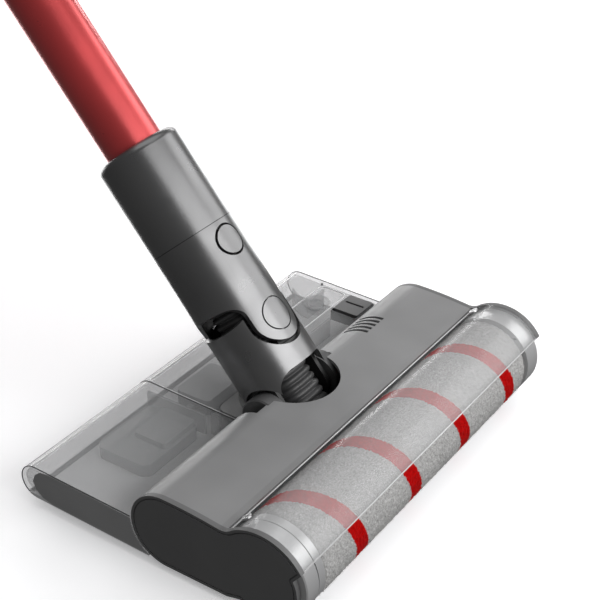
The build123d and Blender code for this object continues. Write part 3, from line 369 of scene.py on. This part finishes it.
def make_pile():
    """Pile sleeve: a tufted cylinder with a red helix, and short fibres standing off it."""
    rng = np.random.default_rng(7)
    across, around = 340, 300
    base = pile_radius - fibre_room
    fluff = rng.normal(0.0, 1.0, (across, around))
    for _ in range(2):
        fluff = (fluff + np.roll(fluff, 1, 0) + np.roll(fluff, 1, 1) + np.roll(fluff, -1, 1)) / 4
    fluff *= fluff_depth / fluff.std()
    vertices = []
    for i in range(across):
        x = pile_low.x + sleeve_margin + (pile_length - 2 * sleeve_margin) * i / (across - 1)
        end = min(i, across - 1 - i)
        shoulder = shoulder_drop * exp(-end / shoulder_rows)
        for j in range(around):
            angle = tau * j / around
            radius = base - shoulder + max(-fluff_limit, min(fluff_limit, fluff[i, j]))
            vertices.append(on_roller(x, radius, angle))
    faces = grid_faces(across, around)
    faces.append(tuple(range(around - 1, -1, -1)))
    faces.append(tuple((across - 1) * around + j for j in range(around)))
    paint = []
    for i in range(across - 1):
        x = pile_low.x + pile_length * (i + 0.5) / (across - 1)
        paint += [int(in_stripe(x, tau * (j + 0.5) / around)) for j in range(around)]
    paint += [0, 0]
    turn = fibre_half_width / base
    for _ in range(fibre_count):
        x = rng.uniform(pile_low.x + fibre_margin, pile_high.x - fibre_margin)
        angle = rng.uniform(0, tau)
        length = rng.uniform(*fibre_length) * MM
        tip_x = x + rng.normal(0, fibre_lean) * MM
        tip_angle = angle + rng.normal(0, fibre_lean) * MM / base
        start = len(vertices)
        for dx, da in ((-fibre_half_width, -turn), (fibre_half_width, -turn), (0.0, turn)):
            vertices.append(on_roller(x + dx, base - fibre_root, angle + da))
        vertices.append(on_roller(tip_x, base + length, tip_angle))
        tip = start + 3
        faces += [(start, start + 1, tip), (start + 1, start + 2, tip), (start + 2, start, tip)]
        paint += [int(in_stripe(x, angle))] * 3
    piece = mesh_piece("roller_pile_fabric", vertices, faces, pile_grey, pile_red)
    piece.data.polygons.foreach_set("material_index", paint)
    smooth(piece)
    return piece


pile = make_pile()
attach(pile, "roller")
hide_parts("roller_pile")


# ---------------------------------------------------------------- ribbed hoses

hose_ribs, steps_per_rib = 8, 8
rib_depth = 2.2 * MM
rib_roundness = 0.55
section_roundness = 0.72
hose_wall = 3 * MM


def ribbed_hose(name, start, end, half_x, half_y):
    """Bellows of rounded ribs with an oblong section, from start to end along the wand."""
    side = Vector((1, 0, 0))
    down = side.cross(wand_dir).normalized() * -1
    length = (end - start).length
    steps = hose_ribs * steps_per_rib
    around = 72
    vertices = []
    for i in range(steps + 1):
        fold = abs(sin(pi * hose_ribs * i / steps)) ** rib_roundness
        inset = rib_depth * (1 - fold)
        centre = start + wand_dir * (length * i / steps)
        for j in range(around):
            angle = tau * j / around
            c, s = cos(angle), sin(angle)
            x = (half_x - inset) * abs(c) ** section_roundness * (1 if c > 0 else -1)
            y = (half_y - inset) * abs(s) ** section_roundness * (1 if s > 0 else -1)
            vertices.append(centre + side * x + down * y)
    faces = grid_faces(steps + 1, around)
    inner = len(vertices)
    bore_x, bore_y = half_x - hose_wall, half_y - hose_wall
    for i in (0, steps):
        centre = start + wand_dir * (length * i / steps)
        for j in range(around):
            angle = tau * j / around
            vertices.append(centre + side * cos(angle) * bore_x + down * sin(angle) * bore_y)
    for j in range(around):
        after = (j + 1) % around
        faces.append((after, j, inner + j, inner + after))
        last = steps * around
        faces.append((last + j, last + after, inner + around + after, inner + around + j))
        faces.append((inner + after, inner + j, inner + around + j, inner + around + after))
    piece = mesh_piece(name, vertices, faces, hose_rubber)
    smooth(piece)
    return piece


def on_wand(along, below=0.0, x=0.0):
    """Point along the wand from the tilt hinge, in millimetres."""
    return tilt + wand_dir * along * MM + wand_down * below * MM + Vector((x * MM, 0, 0))


lower_bellows = ribbed_hose("lower_bellows", on_wand(-10.8), on_wand(25.8), 14.2 * MM, 15.0 * MM)
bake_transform(lower_bellows)
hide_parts("lower_hose")

upper_bellows = ribbed_hose("upper_bellows", on_wand(34.2), on_wand(69.6), 15.0 * MM, 15.0 * MM)
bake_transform(upper_bellows)
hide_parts("upper_hose")


# ---------------------------------------------------------------- seam ring and liner of the neck

def seam_ring(name, along, radius, half_height, body):
    """Thin dark ring that closes the seam between two round covers."""
    around, profile = 128, 8
    half_width = 0.5 * MM
    vertices = []
    for i in range(around):
        angle = tau * i / around
        outward = Vector((cos(angle), 0, 0)) + wand_down * sin(angle)
        for j in range(profile):
            turn = tau * j / profile
            reach = radius + half_width * cos(turn)
            vertices.append(on_wand(along) + outward * reach + wand_dir * half_height * sin(turn))
    faces = []
    for i in range(around):
        for j in range(profile):
            faces.append((
                i * profile + j, (i + 1) % around * profile + j,
                (i + 1) % around * profile + (j + 1) % profile, i * profile + (j + 1) % profile,
            ))
    ring = mesh_piece(name, vertices, faces, black_plastic)
    smooth(ring)
    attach(ring, body)


wand_seam_along, wand_seam_radius = 106.18, 24.4 * MM
seam_ring("wand_seam_ring", wand_seam_along, wand_seam_radius, 0.35 * MM, "upper_neck")


def make_neck_liner():
    """Black inner skin of the upper neck: a ring above the windows and a tongue at the front and the rear."""
    outer, inner = 22.82, 22.7
    around, rows = 120, 29
    first, last = 47.0, 69.8
    ring_from = 63.6
    tongue_half_width = 14.2
    cap_along, cap_room = 46.2, 10.8
    vertices = []
    for radius in (outer, inner):
        for i in range(rows):
            along = first + (last - first) * i / (rows - 1)
            for j in range(around):
                turn = tau * j / around
                vertices.append(on_wand(along, radius * sin(turn), radius * cos(turn)))
    kept = set()
    for i in range(rows - 1):
        along = first + (last - first) * (i + 0.5) / (rows - 1)
        for j in range(around):
            x = outer * cos(tau * (j + 0.5) / around)
            clear_of_cap = sqrt(x * x + (along - cap_along) ** 2) > cap_room
            if along > ring_from or (abs(x) < tongue_half_width and clear_of_cap):
                kept.add((i, j))
    faces = []
    layer = rows * around
    for i, j in kept:
        after = (j + 1) % around
        a, b, c, d = i * around + j, i * around + after, (i + 1) * around + after, (i + 1) * around + j
        faces += [(a, b, c, d), (layer + d, layer + c, layer + b, layer + a)]
        for neighbour, (p, q) in (
            ((i - 1, j), (b, a)), ((i + 1, j), (d, c)),
            ((i, (j - 1) % around), (a, d)), ((i, after), (c, b)),
        ):
            if neighbour not in kept:
                faces.append((p, q, layer + q, layer + p))
    piece = mesh_piece("neck_liner", vertices, faces, black_plastic)
    smooth(piece)
    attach(piece, "upper_neck")


make_neck_liner()


# ---------------------------------------------------------------- painted shade behind the head's vents and painted highlights on its cover

casing_axis = (-8.3, 26.35)
# Thin black sheet inside the casing behind the vents: painted shade, so the vent slots read dark.
vent_shade_outer, vent_shade_inner = 21.0, 20.6
vent_shade_rear, vent_shade_front = 52, 99
vent_shade_outline = arc(casing_axis, vent_shade_outer, vent_shade_rear, vent_shade_front)
vent_shade_outline += arc(casing_axis, vent_shade_inner, vent_shade_front, vent_shade_rear)
bar("vent_painted_shade", vent_shade_outline, 55.0, 82.0, black_plastic, "head")

cover_axis = (roller_axis.y / MM, roller_axis.z / MM)
cover_ends = (cap_left / MM + 0.3, cap_right / MM - 0.3)
# Painted highlights along the cover's front and rear edges, drawn as thin pale lines.
cover_edge_radius = 27.5
for cover_highlight_name, cover_highlight_angle in (("cover_highlight_front", 148.1), ("cover_highlight_rear", 44.6)):
    cover_highlight_point = arc(cover_axis, cover_edge_radius, cover_highlight_angle, cover_highlight_angle, 1)[0]
    bead(cover_highlight_name, [(x, *cover_highlight_point) for x in cover_ends], 0.32, painted_highlight, "head")


# ---------------------------------------------------------------- trim of the tank, with painted highlights and painted shade lines on it

tank_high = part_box("tank_shell")[1]
edge_radius = 10.3
tank_edge = (tank_high.y / MM - edge_radius, tank_high.z / MM - edge_radius)
tank_end = tank_high.x / MM
top_fall, top_run = 2.0, 68.5


def tank_top(y, lift=0.0):
    """Height of the tank's sloping top, in millimetres."""
    return tank_high.z / MM - (tank_edge[0] - y) * top_fall / top_run + lift


rim_front, rim_radius = 14.6, 10.15
for rim_name, rim_side in (("tank_rim_left", -1), ("tank_rim_right", 1)):
    rim = [(rim_front, tank_top(rim_front, -0.15)), *arc(tank_edge, rim_radius, 90, -90), (16.0, 7.2)]
    bead(rim_name, [(rim_side * (tank_end - 0.3), y, z) for y, z in rim], 0.29, black_plastic, "tank")

plate_outline = arc(casing_axis, 22.8, -60, -2) + [(y, tank_top(y, -0.6)) for y in (40.0, 70.0)] + [
    (76.5, 26.6), (80.3, 23.4), (82.4, 18.6), (80.6, 13.4), (76.0, 9.8), (69.0, 8.2), (40.0, 7.4),
]
bar("tank_end_plate", plate_outline, -tank_end - 0.06, -tank_end + 0.3, end_grey, "tank")

# Seam across the tank's top: a dark joint line with a painted highlight beside it.
seam_front, seam_radius = 16.0, 10.25
for seam_name, seam_x, seam_material in (
    ("tank_seam_dark", -28.9, black_plastic), ("tank_seam_highlight", -28.1, painted_highlight),
):
    seam = [(seam_front, tank_top(seam_front, -0.05)), *arc(tank_edge, seam_radius, 90, 30)]
    bead(seam_name, [(seam_x, y, z) for y, z in seam], 0.24, seam_material, "tank")

# Two painted highlights along the tank's rounded rear edge.
line_radius = 10.2
line_ends = {"left": (-tank_end + 1.5, -30.0), "right": (-25.0, tank_end - 1.5)}
for line_name, line_angle in (("tank_highlight_upper", 83), ("tank_highlight_rear", 52)):
    line_point = arc(tank_edge, line_radius, line_angle, line_angle, 1)[0]
    for part, ends in line_ends.items():
        bead(f"{line_name}_{part}", [(x, *line_point) for x in ends], 0.22, painted_highlight, "tank")

# Edge of the filler cap: a painted highlight line and, shifted beside it, a painted shade line.
frame_path = [
    (33.0, 60.0), (115.8, 60.0), (118.3, 59.0), (119.3, 56.5),
    (119.3, 44.5), (118.3, 42.0), (115.8, 41.0), (33.0, 41.0),
]
for frame_name, frame_shift, frame_material in (
    ("filler_frame_highlight", 0.0, painted_highlight), ("filler_frame_shade", 0.55, tank_grey),
):
    shifted = [(x - frame_shift, y - frame_shift, tank_top(y, 0.03)) for x, y in frame_path]
    bead(frame_name, shifted, 0.2, frame_material, "tank")
notch = [(x, y, tank_top(y)) for x, y in ((119.6, 60.2), (121.4, 61.2))]
bead("tank_notch", notch, 0.55, black_plastic, "tank")


def make_latch_well():
    """Black open-topped well round the latch."""
    low, high = (98.6, 21.4, 19.8), (120.8, 39.6, 26.5)
    wall = 0.15
    vertices = []
    for inset, bottom in ((0.0, low[2]), (wall, low[2] + wall)):
        for z in (bottom, high[2]):
            vertices += [
                Vector((x, y, z)) * MM for x, y in (
                    (low[0] + inset, low[1] + inset), (high[0] - inset, low[1] + inset),
                    (high[0] - inset, high[1] - inset), (low[0] + inset, high[1] - inset),
                )
            ]
    faces = [(3, 2, 1, 0), (8, 9, 10, 11)]
    for j in range(4):
        after = (j + 1) % 4
        faces += [
            (j, after, 4 + after, 4 + j), (8 + after, 8 + j, 12 + j, 12 + after),
            (4 + j, 4 + after, 12 + after, 12 + j),
        ]
    piece = mesh_piece("latch_well", vertices, faces, black_plastic)
    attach(piece, "tank")


make_latch_well()


# ---------------------------------------------------------------- mop pad

def make_mop_pad():
    """Mop pad: a soft crowned slab with a bound edge and looped ribs underneath."""
    low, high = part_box("mop_pad")
    rng = np.random.default_rng(11)
    columns, rows = 150, 64
    corner = 8 * MM
    binding = 3.2 * MM
    bare_edge = 0.8 * MM
    rib_height, rib_pitch = 0.25 * MM, 6 * MM
    fuzz_height = 0.05 * MM
    rounding = 0.6
    half = Vector(((high.x - low.x) / 2, (high.y - low.y) / 2, 0))
    centre = (low + high) / 2
    wander = rng.normal(0, 1, (columns, rows))
    vertices, faces, paint = [], [], []

    def edge_distance(x, y):
        dx, dy = half.x - abs(x), half.y - abs(y)
        if dx < corner and dy < corner:
            return corner - sqrt((corner - dx) ** 2 + (corner - dy) ** 2)
        return min(dx, dy)

    def place(i, j):
        u = -1 + 2 * i / (columns - 1)
        v = -1 + 2 * j / (rows - 1)
        x, y = u * half.x, v * half.y
        dx, dy = half.x - abs(x), half.y - abs(y)
        if dx < corner and dy < corner:
            gap = sqrt((corner - dx) ** 2 + (corner - dy) ** 2)
            if gap > corner:
                scale = corner / gap
                x = (half.x - corner + (corner - dx) * scale) * (1 if x > 0 else -1)
                y = (half.y - corner + (corner - dy) * scale) * (1 if y > 0 else -1)
        return x, y

    thick = high.z - low.z
    for level in (0, 1):
        for i in range(columns):
            for j in range(rows):
                x, y = place(i, j)
                inside = max(0.0, edge_distance(x, y))
                toward_rim = 1 - min(1.0, inside / (thick * rounding))
                round_off = thick / 2 * (1 - sqrt(max(0.0, 1 - toward_rim ** 2)))
                rib = rib_height * (1 + sin(tau * (x + y) / rib_pitch)) / 2 if inside > binding else 0.0
                fuzz = fuzz_height * abs(wander[i, j])
                if level == 0:
                    z = low.z + round_off + (rib + fuzz if inside > bare_edge else 0)
                else:
                    z = high.z - round_off - fuzz
                vertices.append((centre.x + x, centre.y + y, z))
    count = columns * rows
    for level in (0, 1):
        for i in range(columns - 1):
            for j in range(rows - 1):
                a = level * count + i * rows + j
                quad = (a, a + 1, a + rows + 1, a + rows)
                faces.append(quad if level == 0 else quad[::-1])
                x, y = vertices[a][0] - centre.x, vertices[a][1] - centre.y
                paint.append(1 if edge_distance(x, y) < binding else 0)
    rim = [(i, 0) for i in range(columns)] + [(columns - 1, j) for j in range(1, rows)]
    rim += [(i, rows - 1) for i in range(columns - 2, -1, -1)] + [(0, j) for j in range(rows - 2, 0, -1)]
    ids = [i * rows + j for i, j in rim]
    for k, first in enumerate(ids):
        second = ids[(k + 1) % len(ids)]
        faces.append((first, second, count + second, count + first))
        paint.append(1)
    piece = mesh_piece("mop_pad_fabric", vertices, faces, mop_cloth, mop_edge)
    piece.data.polygons.foreach_set("material_index", paint)
    smooth(piece)
    return piece


mop = make_mop_pad()
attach(mop, "tank")
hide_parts("mop_pad")


# ---------------------------------------------------------------- floor, light and camera

floor_size = 30.0
floor_material, floor_tree, floor_shader = new_material(
    "pale_floor", Roughness=0.9, Specular_IOR_Level=0.1, Emission_Color=grey(1.0), Emission_Strength=0.3
)
floor_colour = colour_mix(floor_tree, noise(floor_tree, 3.0), grey(0.9), grey(0.93))
floor_tree.links.new(floor_colour, floor_shader.inputs["Base Color"])
floor_corners = [(x * floor_size, y * floor_size, 0) for x, y in ((-1, -1), (1, -1), (1, 1), (-1, 1))]
floor = mesh_piece("floor", floor_corners, [(0, 1, 2, 3)], floor_material)
floor.visible_glossy = False
floor.visible_diffuse = False

view_forward = Vector((0.7051, 0.4833, -0.5189))
focus = Vector((0.0, 0.0, 0.08))


def softbox(name, direction, distance, size, power):
    """Soft box shining at the head from one direction; the cameras don't see it."""
    data = bpy.data.lights.new(name, "AREA")
    data.shape = "RECTANGLE"
    data.size, data.size_y = size
    data.energy = power
    light = bpy.data.objects.new(name, data)
    light.location = focus + Vector(direction).normalized() * distance
    light.rotation_euler = (focus - light.location).to_track_quat("-Z", "Y").to_euler()
    light.visible_camera = False
    bpy.context.collection.objects.link(light)
    return light


# Name, direction, distance and size in metres, and power in watts.
softbox("front_key", (-0.02, -0.86, 0.52), 1.6, (1.7, 0.8), 21)
softbox("side_key", (0.78, -0.5, 0.42), 1.6, (1.3, 0.8), 9)
softbox("overhead", (0.1, 0.1, 1.0), 2.2, (2.4, 2.4), 20)
softbox("rear_strip", (0.705, 0.66, 0.24), 1.7, (2.2, 0.14), 10)
bounce = softbox("rear_bounce", (0.705, 0.62, -0.063), 1.1, (1.6, 1.2), 18)
bounce.rotation_euler = (pi, 0, 0)

world = bpy.data.worlds.new("studio")
world.use_nodes = True
background = world.node_tree.nodes["Background"]
background.inputs["Color"].default_value = (1.0, 1.0, 1.0, 1.0)
background.inputs["Strength"].default_value = 0.105
bpy.context.scene.world = world
bpy.context.scene.view_settings.view_transform = "Standard"

camera_data = bpy.data.cameras.new("camera")
camera_data.lens = 82.67
camera_data.sensor_width = 36.0
camera_data.clip_start = 0.02
camera = bpy.data.objects.new("camera", camera_data)
camera.location = (-0.52138, -0.36196, 0.48234)
camera.rotation_euler = view_forward.to_track_quat("-Z", "Y").to_euler()
bpy.context.collection.objects.link(camera)
bpy.context.scene.camera = camera
